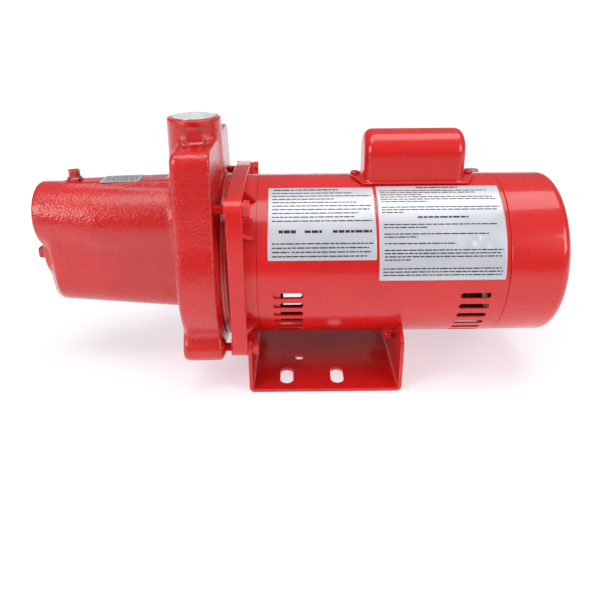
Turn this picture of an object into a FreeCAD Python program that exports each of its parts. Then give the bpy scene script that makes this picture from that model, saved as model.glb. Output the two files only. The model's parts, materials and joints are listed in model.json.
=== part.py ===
import FreeCAD, Part

import math
import os

# Shallow well jet pump: a cast iron jet casing bolted to a close-coupled capacitor-start motor
# on a stamped U-shaped base. Millimetres. Every function below works in the shaft's own frame:
# X along the shaft towards the motor's rear, Y sideways, Z up, with the shaft at Y = Z = 0.
# save() then moves each piece so that the origin is under the middle of the whole pump, level
# with the base's underside.

V = FreeCAD.Vector

# ---------------------------------------------------------------- driving dimensions
SHAFT_HEIGHT = 102.0          # shaft above the base's underside
MIDDLE_X = -6.0               # middle of the overall length, in the shaft's frame

SHELL_R = 71.5                # motor shell, outside
SHELL_WALL = 1.5
SHELL_X0 = -32.1
SHELL_X1 = 171.1
DRUM_X1 = -32.5               # rear edge of the adapter's drum
COVER_X0 = 171.5              # front edge of the end cover
COVER_X1 = 221.5              # rear face of the end cover
COVER_CORNER = 8.0
DIMPLE = 3.2                  # depth of the dimples round the cover's screws

BOLT_SQUARE = 62.0            # the four casing bolts stand at (+-62, +-62)
BOLT_R = 3.95                 # M8
BOLT_PITCH = 1.25
WASHER_T = 1.0
FLANGE_X0 = -55.0
FLANGE_X1 = -42.0
FLANGE_HALF = 71.2
FLANGE_CROWN = 75.5
FLANGE_CORNER = 12.0

CASE_X0 = -96.0               # pump casing, volute part
CASE_X1 = -64.5
LUG_SEAT = 3.4                # height of the tapered seats behind the two lower lugs
CASE_R = 82.0
CASE_EDGE = 5.0
CHAMBER_R = 68.0
CHAMBER_X0 = -90.0
SHOULDER_TOP = 107.0
SHOULDER_HALF = 66.0
BOSS_X = -84.9                # discharge boss
BOSS_R = 22.5
BOSS_DRAFT = 1.8              # extra radius at the boss's root
BOSS_TOP = 123.5
DISCHARGE_R = 15.2            # 1 in NPT

SNOUT_X0 = -221.0             # drain plug's face at the snout's end
BARREL_X0 = -224.0            # suction port's face
SNOUT_R = 34.4
SUCTION_Z = 34.0                 # axis of the chamber behind the suction port
END_R = 28.6                     # the barrel narrows towards its open end, its top staying level
END_Z = SUCTION_Z + SNOUT_R - END_R
TAPER_X1 = -170.0
SUCTION_R = 19.05             # 1-1/4 in NPT
SUCTION_LENGTH = 20.0
STRIP_X0 = -201.0
STRIP_X1 = -92.0
STRIP_LOW = 69.4              # top of the raised strip, at its two ends
STRIP_HIGH = 72.3
JET_R = 14.5                  # bore that holds the nozzle and the venturi
JET_X0 = SNOUT_X0 + 20.0

HALF_INCH_R = 10.15           # 1/2 in NPT plug
QUARTER_INCH_R = 6.35         # 1/4 in NPT plug
THREAD_GAP = 0.05
PRIMING_Y = -36.0
PRIMING_X = -79.5
VENT_X = -191.8
DRAIN_Z = 3.0
SPOT_FACE_R = 9.5             # milled seat round the drain plug

RING_X1 = -61.6               # machined ring on the casing's back
RIM_X0 = -61.1                # seal plate, with its gasket in front of it
RIM_X1 = -56.6
RIM_R = 73.0
PILOT_R = 57.9
SEAT_X = -66.0                # running face of the shaft seal

BEARING_R = 20.0              # 6203: 17 x 40 x 12
BEARING_BORE = 8.5
BEARING_WIDTH = 12.0
BALL_R = 3.4
BALL_RING_R = 14.25
BALL_COUNT = 8
FRONT_BEARING_X = -49.0
REAR_BEARING_X = 167.0

STACK_X0 = 22.0               # stator and rotor laminations
STACK_X1 = 112.0
AIR_GAP_R = 37.6
ROTOR_R = 37.2
STATOR_R = 69.95
STATOR_SLOTS = 24
TIE_R = 65.2                  # circle of the motor's through bolts
TIE_BOLT_R = 2.4

VENT_LENGTH = 25.0
VENT_WIDTH = 5.5
LEFT_VENTS = (-7.5, 7.5, 8.0, 21)       # middle X, first angle below level, pitch, count
RIGHT_VENTS = (146.0, 8.6, 9.05, 19)

BOX_X0 = 57.0                 # capacitor cover
BOX_X1 = 141.8
BOX_HALF = 20.0
BOX_ARCH_Z = 92.0
BOX_WALL = 1.2
BOX_FLANGE_X0 = 47.5
BOX_FLANGE_X1 = 152.5
BOX_FLANGE_HALF = 21.5
BOX_SCREWS_X = (51.0, 149.0)

BASE_X0 = -42.0
BASE_X1 = 90.0
BASE_HALF = 72.0
BASE_T = 3.0
BASE_BEND = 5.0
SADDLE_R = 71.6
SADDLE_TIP = (56.5, -45.5)
SADDLE_SIDE_Z = -54.0
SLOTS_X = (-10.0, 35.0)       # the base's two rows of slots
SLOT_Y = 51.0
SLOT_R = 5.75
SLOT_LENGTH = 24.5
CRADLE_ANGLE = 30.0           # cradle screws, from straight down
CRADLE_X = 81.4
TIP = SHELL_WALL - 0.1        # how far a screw reaches through the shell

BUSHING_X = 160.5
BUSHING_ANGLE = 30.0
BUSHING_R = 9.5

LABEL_T = 0.2
LEFT_LABEL = (-23.2, 63.8, 19.2, 73.0)   # X from, X to, angles from the top
RIGHT_LABEL = (66.0, 168.0, 18.0, 86.8)
SNOUT_LABEL = (-167.5, -134.0, -10.8, 10.2)   # X from, X to, Y from, Y to


# ---------------------------------------------------------------- shape helpers
def cyl_x(radius, x0, x1, y=0.0, z=0.0):
    return Part.makeCylinder(radius, x1 - x0, V(x0, y, z), V(1, 0, 0))


def cyl_z(radius, z0, z1, x=0.0, y=0.0):
    return Part.makeCylinder(radius, z1 - z0, V(x, y, z0), V(0, 0, 1))


def ring_x(outer, inner, x0, x1, y=0.0, z=0.0):
    return cyl_x(outer, x0, x1, y, z).cut(cyl_x(inner, x0, x1, y, z))


def box(x0, x1, y0, y1, z0, z1):
    return Part.makeBox(x1 - x0, y1 - y0, z1 - z0, V(x0, y0, z0))


def fuse(shapes):
    return shapes[0].multiFuse(shapes[1:]).removeSplitter()


def turned(points):
    """A solid turned about the shaft from a closed outline of (x, radius) points."""
    corners = [V(x, 0, r) for x, r in points]
    face = Part.Face(Part.makePolygon(corners + corners[:1]))
    return face.revolve(V(0, 0, 0), V(1, 0, 0), 360)


def yz_at(x):
    return lambda u, v: V(x, u, v)


def xy_at(z):
    return lambda u, v: V(u, v, z)


def rounded_wire(corners, place):
    """A closed wire through (u, v, radius) corners, each rounded to its radius."""
    edges = []
    ends = []
    count = len(corners)
    for i in range(count):
        here = V(corners[i][0], corners[i][1], 0)
        before = V(corners[i - 1][0], corners[i - 1][1], 0)
        after = V(corners[(i + 1) % count][0], corners[(i + 1) % count][1], 0)
        radius = corners[i][2]
        if radius == 0:
            ends.append((here, None, here))
            continue
        back = (before - here).normalize()
        ahead = (after - here).normalize()
        half = back.getAngle(ahead) / 2
        reach = radius / math.tan(half)
        centre = here + (back + ahead).normalize() * (radius / math.sin(half))
        middle = centre + (here - centre).normalize() * radius
        ends.append((here + back * reach, middle, here + ahead * reach))
    for i in range(count):
        start, middle, end = ends[i]
        following = ends[(i + 1) % count][0]
        if middle is not None:
            arc = Part.Arc(place(start.x, start.y), place(middle.x, middle.y), place(end.x, end.y))
            edges.append(arc.toShape())
        if (following - end).Length > 1e-6:
            edges.append(Part.makeLine(place(end.x, end.y), place(following.x, following.y)))
    return Part.Wire(edges)


def slab_x(corners, x0, x1):
    """A plate across the shaft with a rounded outline of (y, z, radius) corners."""
    return Part.Face(rounded_wire(corners, yz_at(x0))).extrude(V(x1 - x0, 0, 0))


def slab_z(corners, z0, z1):
    """A level plate with a rounded outline of (x, y, radius) corners."""
    return Part.Face(rounded_wire(corners, xy_at(z0))).extrude(V(0, 0, z1 - z0))


def round_edges(shape, radius, wanted):
    """Fillets the edges that the test function picks."""
    return shape.makeFillet(radius, [e for e in shape.Edges if wanted(e)])


def spun(shape, angle):
    """A copy turned about the shaft, positive from the top towards the front (-Y)."""
    copy = shape.copy()
    copy.rotate(V(0, 0, 0), V(1, 0, 0), angle)
    return copy


def bolt_places(sides=(1, -1)):
    return [(y * BOLT_SQUARE, z * BOLT_SQUARE) for z in sides for y in (-1, 1)]


def sector(outer, inner, x0, x1, start, end):
    """Part of a ring about the shaft, between two angles from the top towards the front."""
    corners = [V(x0, 0, inner), V(x1, 0, inner), V(x1, 0, outer), V(x0, 0, outer), V(x0, 0, inner)]
    strip = Part.Face(Part.makePolygon(corners)).revolve(V(0, 0, 0), V(1, 0, 0), end - start)
    return spun(strip, start)


def tie_angles():
    return [90.0 * i + 45.0 for i in range(4)]


def hex_head(across, x0, x1, y, z):
    """A hexagon head along X with its corner circle's chamfer on the outer face."""
    corner = across / math.sqrt(3)
    corners = []
    for i in range(6):
        a = math.radians(60 * i + 30)
        corners.append((y + corner * math.cos(a), z + corner * math.sin(a), 0))
    prism = slab_x(corners, min(x0, x1), max(x0, x1))
    height = abs(x1 - x0)
    flare = height + (corner - across / 2) * 1.6
    way = V(1, 0, 0) if x1 > x0 else V(-1, 0, 0)
    base = V(x0, y, z)
    cone = Part.makeCone(corner + height * 1.15, corner - (flare - height) * 0.9, flare, base, way)
    return prism.common(cone)


def square_plug(radius, across, collar, head, reach, bore=0.0):
    """A pipe plug along +Z with its seating face at Z = 0: thread below, square head above."""
    thread = cyl_z(radius, -reach, collar)
    tip = Part.makeCone(radius - 0.9, radius, 1.6, V(0, 0, -reach - 1.6), V(0, 0, 1))
    half = across / 2
    corner = across * 0.12
    square = slab_z([(-half, -half, corner), (half, -half, corner), (half, half, corner),
                     (-half, half, corner)], collar, collar + head)
    dome = Part.makeCone(half * 1.62, half * 1.18, head, V(0, 0, collar), V(0, 0, 1))
    edge = Part.makeCone(radius, radius - 1.2, 1.2, V(0, 0, collar), V(0, 0, 1))
    plug = fuse([thread, tip, square.common(dome), edge])
    if bore:
        plug = plug.cut(cyl_z(bore, -reach - 1.6, -3.0))
    return plug


# ---------------------------------------------------------------- pump end
def snout_section(x, half_top, bottom_r, bottom_z):
    """One cross section of the jet housing under the suction bore: sides down to a round bottom."""
    top = SUCTION_Z + 2.0
    left_top = V(x, -half_top, top)
    left_low = V(x, -bottom_r, bottom_z)
    low = V(x, 0, bottom_z - bottom_r)
    right_low = V(x, bottom_r, bottom_z)
    right_top = V(x, half_top, top)
    edges = [Part.makeLine(left_top, left_low), Part.Arc(left_low, low, right_low).toShape(),
             Part.makeLine(right_low, right_top), Part.makeLine(right_top, left_top)]
    return Part.Wire(edges)


def strip_z(x):
    """Height of the snout's raised strip."""
    return STRIP_LOW + (STRIP_HIGH - STRIP_LOW) * (x - STRIP_X0) / (STRIP_X1 - STRIP_X0)


def snout_outside():
    rings = [Part.Wire(Part.makeCircle(r, V(x, 0, z), V(1, 0, 0)))
             for r, x, z in ((END_R, BARREL_X0, END_Z), (SNOUT_R, TAPER_X1, SUCTION_Z))]
    taper = Part.makeLoft(rings, True, True)
    taper = round_edges(taper, 2.0, lambda e: abs(e.CenterOfMass.x - BARREL_X0) < 0.1)
    barrel = cyl_x(SNOUT_R, TAPER_X1, CHAMBER_X0, 0, SUCTION_Z)
    flare = Part.makeCone(SNOUT_R - 1.0, SNOUT_R + 9.0, 12.0, V(CASE_X0 - 10.0, 0, SUCTION_Z), V(1, 0, 0))
    nose = [snout_section(SNOUT_X0, 23.0, 13.0, -26.0), snout_section(SNOUT_X0 + 9.0, 28.8, 27.0, -14.6)]
    body = [snout_section(SNOUT_X0 + 9.0, 28.8, 27.0, -14.6), snout_section(CASE_X0 + 4.0, 33.0, 28.0, -23.6)]
    foot = [snout_section(CASE_X0 - 9.0, 32.8, 27.0, -22.4), snout_section(CASE_X0 + 2.0, 42.0, 36.0, -25.0)]
    plug_pad = cyl_x(24.0, SNOUT_X0, SNOUT_X0 + 16.0, 0, 7.0)
    strip = Part.makeLoft([
        rounded_wire([(-9.0, 50.0, 0), (9.0, 50.0, 0), (9.0, STRIP_LOW, 1.5), (-9.0, STRIP_LOW, 1.5)],
                     yz_at(STRIP_X0)),
        rounded_wire([(-14.5, 50.0, 0), (14.5, 50.0, 0), (14.5, STRIP_HIGH, 1.5), (-14.5, STRIP_HIGH, 1.5)],
                     yz_at(STRIP_X1))], True, True)
    lofts = [Part.makeLoft(pair, True, True) for pair in (nose, body, foot)]
    return fuse([taper, barrel, flare, plug_pad, strip] + lofts)


def lug_outline(x0, x1, side):
    """A lower bolt lug: two circles and the flanks between them."""
    inner = 47.0
    inner_r = 17.0
    outer_r = 11.4
    span = (BOLT_SQUARE - inner) * math.sqrt(2)
    lean = math.asin((inner_r - outer_r) / span)
    along = math.atan2(-1, side)
    flanks = []
    for turn in (1, -1):
        a = along + turn * (math.pi / 2 - lean)
        flanks.append((side * inner + inner_r * math.cos(a), -inner + inner_r * math.sin(a)))
        flanks.append((side * BOLT_SQUARE + outer_r * math.cos(a), -BOLT_SQUARE + outer_r * math.sin(a)))
    ordered = [flanks[0], flanks[1], flanks[3], flanks[2]]
    middle = slab_x([(y, z, 0) for y, z in ordered], x0, x1)
    return fuse([cyl_x(inner_r, x0, x1, side * inner, -inner),
                 cyl_x(outer_r, x0, x1, side * BOLT_SQUARE, -BOLT_SQUARE), middle])


def left_edge(x):
    return lambda e: e.BoundBox.XLength < 0.01 and abs(e.CenterOfMass.x - x) < 0.01


def volute_outside():
    drum = round_edges(cyl_x(CASE_R, CASE_X0, CASE_X1), CASE_EDGE, left_edge(CASE_X0))
    low = 31.0
    wide = 75.8
    shoulders = slab_x([(-wide, low, 0), (wide, low, 0), (72.5, BOLT_SQUARE, 30.0),
                        (SHOULDER_HALF, SHOULDER_TOP, 9.0), (-SHOULDER_HALF, SHOULDER_TOP, 9.0),
                        (-72.5, BOLT_SQUARE, 30.0)], CASE_X0, CASE_X1)
    shoulders = round_edges(shoulders, CASE_EDGE, left_edge(CASE_X0))
    lug_x = CASE_X0 - 1.2
    lugs = [round_edges(lug_outline(lug_x, CASE_X1, side), 4.0, left_edge(lug_x)) for side in (-1, 1)]
    return fuse([drum, shoulders] + lugs)


def pump_casing():
    boss = Part.makeCone(BOSS_R + BOSS_DRAFT, BOSS_R, BOSS_TOP - 30.0, V(BOSS_X, 0, 30.0), V(0, 0, 1))
    boss = round_edges(boss, 1.2, lambda e: e.CenterOfMass.z > BOSS_TOP - 0.1)
    ring = round_edges(cyl_x(RIM_R + 1.4, CASE_X1 - 1.0, RING_X1), 0.8, lambda e: e.CenterOfMass.x > CASE_X1)
    seats = [Part.makeCone(10.8, 4.7, LUG_SEAT, V(CASE_X1, y, z), V(1, 0, 0)) for y, z in bolt_places((-1,))]
    outside = fuse([volute_outside(), boss, snout_outside(), ring] + seats)
    holes = [
        box(RING_X1, RING_X1 + 10.0, -30.0, 30.0, 20.0, RIM_R + 5.0),
        cyl_x(CHAMBER_R, CHAMBER_X0, RING_X1),
        cyl_x(JET_R, JET_X0, CHAMBER_X0),
        cyl_x(SUCTION_R, BARREL_X0, BARREL_X0 + SUCTION_LENGTH, 0, END_Z),
        cyl_x(SUCTION_R + 3.5, BARREL_X0 + SUCTION_LENGTH, SNOUT_X0 + 66.0, 0, SUCTION_Z),
        cyl_x(9.0, JET_X0, CHAMBER_X0, 0, -27.5),
        box(JET_X0, JET_X0 + 5.0, -7.0, 7.0, -27.0, 0.0),
        cyl_x(QUARTER_INCH_R - 2.0, SNOUT_X0, JET_X0 + 1.0, 0, DRAIN_Z),
        cyl_z(DISCHARGE_R, 50.0, BOSS_TOP, BOSS_X),
        Part.makeCone(DISCHARGE_R + 1.6, DISCHARGE_R, 1.6, V(BOSS_X, 0, BOSS_TOP), V(0, 0, -1)),
        cyl_z(HALF_INCH_R + THREAD_GAP, SHOULDER_TOP - 16.0, SHOULDER_TOP, PRIMING_X, PRIMING_Y),
        cyl_z(HALF_INCH_R - 2.0, 50.0, SHOULDER_TOP, PRIMING_X, PRIMING_Y),
        cyl_z(QUARTER_INCH_R + THREAD_GAP, SHOULDER_TOP - 13.0, SHOULDER_TOP, PRIMING_X, -PRIMING_Y),
        cyl_z(QUARTER_INCH_R - 2.0, 50.0, SHOULDER_TOP, PRIMING_X, -PRIMING_Y),
        cyl_z(QUARTER_INCH_R + THREAD_GAP, 50.0, STRIP_HIGH, VENT_X),
        cyl_x(QUARTER_INCH_R + THREAD_GAP, SNOUT_X0, SNOUT_X0 + 13.0, 0, DRAIN_Z),
        cyl_x(SPOT_FACE_R, BARREL_X0, SNOUT_X0, 0, DRAIN_Z),
    ]
    holes += [cyl_x(BOLT_R + THREAD_GAP, CASE_X1 - 22.0, CASE_X1 + LUG_SEAT, y, z) for y, z in bolt_places()]
    return outside.cut(Part.Compound(holes))


def seated_plug(plug, x, y, z, turn=0.0):
    plug.rotate(V(0, 0, 0), V(0, 0, 1), turn)
    plug.translate(V(x, y, z))
    return plug


def priming_plug():
    return seated_plug(square_plug(HALF_INCH_R, 14.0, 2.6, 10.2, 12.0, 6.0),
                       PRIMING_X, PRIMING_Y, SHOULDER_TOP, 8.0)


def gauge_port_plug():
    return seated_plug(square_plug(QUARTER_INCH_R, 9.5, 2.2, 7.4, 9.0),
                       PRIMING_X, -PRIMING_Y, SHOULDER_TOP, 20.0)


def vent_plug():
    return seated_plug(square_plug(QUARTER_INCH_R, 9.0, 2.2, 6.8, 9.0), VENT_X, 0, strip_z(VENT_X), 25.0)


def drain_plug():
    plug = square_plug(QUARTER_INCH_R, 9.2, 4.5, 8.0, 9.0)
    plug.rotate(V(0, 0, 0), V(0, 1, 0), -90)
    plug.translate(V(SNOUT_X0, 0, DRAIN_Z))
    return plug


def discharge_cap():
    """The soft plastic dust plug in the discharge port, with a pull tab at its front."""
    disc = cyl_z(18.1, BOSS_TOP, BOSS_TOP + 1.4, BOSS_X)
    disc = round_edges(disc, 0.5, lambda e: e.CenterOfMass.z > BOSS_TOP + 1.3)
    skirt = cyl_z(DISCHARGE_R - 0.1, BOSS_TOP - 8.0, BOSS_TOP, BOSS_X)
    skirt = skirt.cut(cyl_z(DISCHARGE_R - 1.5, BOSS_TOP - 8.0, BOSS_TOP - 0.6, BOSS_X))
    tab = box(BOSS_X - 5.8, BOSS_X - 1.0, -21.2, -16.0, BOSS_TOP, BOSS_TOP + 0.9)
    return fuse([disc, skirt, tab])


def nozzle():
    """Turned brass jet nozzle, screwed in between the pressure side and the suction chamber."""
    x = JET_X0 + 5.0
    outer = JET_R - 0.05
    return turned([(x, 6.5), (x, outer), (x + 5, outer), (x + 5, 11.2), (x + 8.5, 11.2), (x + 20, 6.2),
                   (x + 20, 3.2), (x + 17, 3.2)])


def nozzle_o_ring():
    x = JET_X0 + 11.3
    return Part.makeTorus(12.4, 1.15, V(x, 0, 0), V(1, 0, 0))


def venturi_tube():
    """Bell mouth, throat and long diffusing cone that lead the jet into the impeller's eye."""
    x0 = JET_X0 + 29.0
    x1 = CHAMBER_X0 - 1.0
    outer = JET_R - 0.05
    return turned([(x0, 12.8), (x0, outer), (x0 + 5, outer), (x0 + 12, 10.0), (x1 - 20, 11.8),
                   (x1 - 16, 11.8), (x1 - 14.5, 10.9), (x1 - 12.0, 10.9), (x1 - 10.5, 11.8),
                   (x1 - 8.0, outer), (x1, outer), (x1, 9.8), (x0 + 24, 5.5), (x0 + 14, 5.5)])


def venturi_seal():
    return Part.makeTorus(12.3, 1.35, V(CHAMBER_X0 - 14.3, 0, 0), V(1, 0, 0))


def diffuser():
    """Stationary plastic diffuser: a plate with a throat over the venturi and twelve guide vanes."""
    x0 = CHAMBER_X0
    plate = turned([(x0, 11.0), (x0, 66.5), (x0 + 14.0, 66.5), (x0 + 14.0, 65.0), (x0 + 2.2, 65.0),
                    (x0 + 2.2, 18.5), (x0 + 1.2, 18.5), (x0 + 1.2, 11.0)])
    vanes = []
    for i in range(12):
        vane = box(x0 + 2.2, x0 + 12.0, -1.0, 1.0, 54.0, 65.5)
        vane.rotate(V(0, 0, 54.0), V(1, 0, 0), 28.0)
        vanes.append(spun(vane, 30.0 * i))
    rim = cyl_x(66.5, x0, x0 + 14.0)
    return fuse([plate] + [vane.common(rim) for vane in vanes])


def impeller():
    """Closed impeller: hub, two shrouds and six swept vanes."""
    eye = 17.5
    x0 = CHAMBER_X0 + 3.2
    x1 = SEAT_X - 10.0
    front = turned([(x0, eye - 2.0), (x0, eye), (x0 + 1.8, eye + 1.0), (x0 + 2.6, 51.5), (x0 + 1.2, 51.5),
                    (x0 - 0.6, eye + 1.0), (x0 - 1.2, eye), (x0 - 1.2, eye - 2.0)])
    back = turned([(x1 - 2.0, 6.4), (x1 - 2.0, 51.5), (x1 - 0.4, 51.5), (x1, 13.0), (x1, 6.4)])
    hub = turned([(x0 + 0.5, 6.4), (x0 + 0.5, 8.5), (x1 - 2.5, 11.0), (x1 - 1.0, 11.0), (x1 - 1.0, 6.4)])
    lane = ring_x(51.0, 16.5, x0 + 0.6, x1 - 1.5)
    vanes = []
    for i in range(6):
        arc = ring_x(34.0, 32.0, x0 + 0.6, x1 - 1.5, 0, 26.0)
        arc = arc.common(box(x0, x1, 0.0, 60.0, -20.0, 62.0)).common(lane)
        vanes.append(spun(arc, 60.0 * i))
    return fuse([front, back, hub] + vanes)


def seal_plate():
    """Cast iron plate that closes the casing: grooved rim, spigots both ways and the seal's seat."""
    groove_x0 = -58.9
    groove_x1 = -58.4
    step = 0.6
    return turned([(-72.0, 62.0), (-72.0, CHAMBER_R - 0.1), (RIM_X0, CHAMBER_R - 0.1), (RIM_X0, RIM_R),
                   (groove_x0, RIM_R), (groove_x0, RIM_R - 1.5), (groove_x1, RIM_R - 1.5),
                   (groove_x1, RIM_R - step), (RIM_X1, RIM_R - step), (RIM_X1, 66.0), (FLANGE_X0, 66.0),
                   (FLANGE_X0, PILOT_R), (-51.0, PILOT_R), (-51.0, 52.0), (-58.0, 48.0), (-57.0, 17.0),
                   (-57.0, 8.6), (SEAT_X + 6.0, 8.6), (SEAT_X + 6.0, 13.0), (SEAT_X, 13.0),
                   (SEAT_X, 17.0), (-66.0, 48.0)])


def casing_gasket():
    return ring_x(RIM_R - 0.4, CHAMBER_R + 0.2, RING_X1, RIM_X0)


def seal_boot():
    return turned([(SEAT_X + 0.6, 11.2), (SEAT_X + 0.6, 13.0), (SEAT_X + 6.0, 13.0), (SEAT_X + 6.0, 8.8),
                   (SEAT_X + 5.0, 8.8), (SEAT_X + 5.0, 11.2)])


def seal_seat():
    return ring_x(11.2, 8.6, SEAT_X, SEAT_X + 5.0)


def seal_face():
    return ring_x(11.5, 8.4, SEAT_X - 3.0, SEAT_X)


def seal_bellows():
    x0 = SEAT_X - 10.0
    return turned([(x0, 7.95), (x0, 12.0), (x0 + 1.4, 12.0), (x0 + 1.4, 9.6), (x0 + 5.6, 9.6),
                   (x0 + 5.6, 11.5), (x0 + 7.0, 11.5), (x0 + 7.0, 7.95)])


def seal_spring():
    """Four closed turns drawn as rings of wire between the bellows' two rims."""
    x0 = SEAT_X - 8.6
    wire = 0.5
    turns = [Part.makeTorus(10.6, wire, V(x0 + wire + i * 1.05, 0, 0), V(1, 0, 0)) for i in range(4)]
    return Part.Compound(turns)


def slinger():
    return turned([(-54.6, 8.5), (-54.6, 10.5), (-53.6, 10.5), (-53.2, 15.5), (-52.4, 15.5), (-52.4, 10.5),
                   (-51.6, 10.5), (-51.6, 8.5)])


def casing_bolt(y, z, head_x):
    """M8 hexagon bolt from the motor side: head, lock washer and a thread that shows in the gap."""
    tip = CASE_X1 - 15.0
    crest = BOLT_R
    root = BOLT_R - 0.62
    outline = [(tip, 0.0), (tip, crest - 0.8), (tip + 0.8, crest), (CASE_X1 - 1.0, crest)]
    x = CASE_X1 - 0.6
    while x < FLANGE_X0 - 1.9:
        outline += [(x, crest), (x + BOLT_PITCH / 2, root)]
        x += BOLT_PITCH
    outline += [(x, crest), (head_x + 0.5, crest), (head_x + 0.5, 0.0)]
    shank = turned(outline)
    shank.translate(V(0, y, z))
    return fuse([shank, hex_head(13.0, head_x, head_x + 4.6, y, z)])


def casing_bolts():
    top = [casing_bolt(y, z, FLANGE_X1 + WASHER_T) for y, z in bolt_places((1,))]
    low = [casing_bolt(y, z, FLANGE_X1 + BASE_T + WASHER_T) for y, z in bolt_places((-1,))]
    return Part.Compound(top + low)


def bolt_washers():
    """Split lock washers under the bolt heads."""
    washers = []
    for side, x in ((1, FLANGE_X1), (-1, FLANGE_X1 + BASE_T)):
        for y, z in bolt_places((side,)):
            washer = ring_x(6.6, 4.2, x, x + WASHER_T, y, z)
            washers.append(washer.cut(box(x, x + WASHER_T, y - 0.6, y + 0.6, z, z + 8.0)))
    return Part.Compound(washers)


# ---------------------------------------------------------------- motor adapter
def crowned_square(x0, x1):
    """The flange's outline: four slightly crowned sides and four round corners."""
    inner = FLANGE_HALF - FLANGE_CORNER
    lean = 2.0 * math.atan((FLANGE_CROWN - FLANGE_HALF) / inner)
    bulge = FLANGE_CORNER / 2 * math.tan((math.pi / 2 - 2 * lean) / 4)
    diagonal = (inner + FLANGE_HALF) / 2 + bulge
    side = [(-inner, FLANGE_HALF), (0.0, FLANGE_CROWN), (inner, FLANGE_HALF)]
    corner = [(inner, FLANGE_HALF), (diagonal, diagonal), (FLANGE_HALF, inner)]
    edges = []
    for i in range(4):
        for arc in (side, corner):
            points = []
            for u, v in arc:
                for _ in range(i):
                    u, v = v, -u
                points.append(V(x0, u, v))
            edges.append(Part.Arc(*points).toShape())
    return Part.Face(Part.Wire(edges)).extrude(V(x1 - x0, 0, 0))


def gusset(angle):
    """A triangular rib from the flange's back to the adapter's drum, at an angle from the top."""
    drum = SHELL_R - 1.5
    reach = 85.0
    face = Part.Face(Part.makePolygon([V(FLANGE_X1 - 1, -1.4, drum), V(FLANGE_X1 - 1, -1.4, reach),
                                       V(FLANGE_X1, -1.4, reach), V(DRUM_X1 - 0.5, -1.4, drum + 1.4),
                                       V(DRUM_X1 - 0.5, -1.4, drum), V(FLANGE_X1 - 1, -1.4, drum)]))
    return spun(face.extrude(V(0, 2.8, 0)), angle)


def motor_adapter():
    """Die-cast drive-end bracket: square flange, drum, register, bearing housing and gussets."""
    plate = crowned_square(FLANGE_X0, FLANGE_X1)
    plate = round_edges(plate, 1.0, lambda e: e.BoundBox.XLength < 0.01)
    within = crowned_square(FLANGE_X0 - 1.3, FLANGE_X0 + 2.0)
    pads = [cyl_x(8.8, FLANGE_X0 - 1.3, FLANGE_X0 + 2.0, y, z).common(within) for y, z in bolt_places()]
    drum = cyl_x(SHELL_R, FLANGE_X1 - 1.0, DRUM_X1)
    register = cyl_x(STATOR_R, DRUM_X1 - 1.0, -14.0)
    ribs = [gusset(90.0 * i + 45.0 + lean) for i in range(4) for lean in (-14.0, 14.0)]
    solid = fuse([plate, drum, register] + pads + ribs)
    hollow = turned([(FLANGE_X0 - 2.0, 0.0), (FLANGE_X0 - 2.0, PILOT_R + 0.1), (-50.0, PILOT_R + 0.1),
                     (-50.0, 0.0)])
    inside = turned([(-45.0, 26.0), (-45.0, 66.0), (-13.0, 66.0), (-13.0, 0.0), (-36.5, 0.0),
                     (-36.5, 26.0)])
    seat = cyl_x(BEARING_R, FRONT_BEARING_X, -30.0)
    eye = cyl_x(17.0, -52.0, -30.0)
    holes = [cyl_x(4.4, FLANGE_X0 - 3.0, FLANGE_X1 + 3.0, y, z) for y, z in bolt_places()]
    lugs = [spun(cyl_x(5.2, -45.0, -24.0, 0, TIE_R - 1.5), angle) for angle in tie_angles()]
    lugs = [lug.common(cyl_x(67.5, -45.0, -24.0)) for lug in lugs]
    taps = [spun(cyl_x(TIE_BOLT_R + 0.05, -40.0, -10.0, 0, TIE_R), angle) for angle in tie_angles()]
    body = solid.cut(Part.Compound([hollow, inside, seat, eye] + holes))
    return fuse([body] + lugs).cut(Part.Compound(taps))


# ---------------------------------------------------------------- bearings
def bearing_ring(outer, inner, x0):
    ring = ring_x(outer, inner, x0, x0 + BEARING_WIDTH)
    middle = V(x0 + BEARING_WIDTH / 2, 0, 0)
    return ring.cut(Part.makeTorus(BALL_RING_R, BALL_R + 0.1, middle, V(1, 0, 0)))


def bearing_outer(x0):
    return bearing_ring(BEARING_R, 16.3, x0)


def bearing_inner(x0):
    return bearing_ring(12.2, BEARING_BORE, x0)


def bearing_balls(x0):
    ball = Part.makeSphere(BALL_R, V(x0 + BEARING_WIDTH / 2, 0, BALL_RING_R))
    return Part.Compound([spun(ball, 360.0 * i / BALL_COUNT) for i in range(BALL_COUNT)])


def wave_washer():
    """Spring washer that loads the rear bearing, drawn at its working thickness."""
    return ring_x(19.4, 16.6, REAR_BEARING_X + BEARING_WIDTH, REAR_BEARING_X + BEARING_WIDTH + 1.2)


# ---------------------------------------------------------------- motor's moving core
def motor_shaft():
    impeller_end = CHAMBER_X0 + 4.5
    shaft = turned([(impeller_end, 0.0), (impeller_end, 5.6), (impeller_end + 1, 6.3), (SEAT_X - 10.0, 6.3),
                    (SEAT_X - 10.0, 7.9), (-57.0, 7.9), (-57.0, BEARING_BORE), (-37.0, BEARING_BORE),
                    (-37.0, 10.5), (12.0, 10.5), (12.0, 11.0), (125.0, 11.0), (125.0, 10.0),
                    (REAR_BEARING_X, 10.0), (REAR_BEARING_X, BEARING_BORE),
                    (REAR_BEARING_X + BEARING_WIDTH, BEARING_BORE), (REAR_BEARING_X + BEARING_WIDTH, 6.0),
                    (187.5, 6.0), (188.0, 5.5), (188.0, 0.0)])
    return shaft.cut(box(185.0, 189.0, -0.9, 0.9, -7.0, 7.0))


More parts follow.
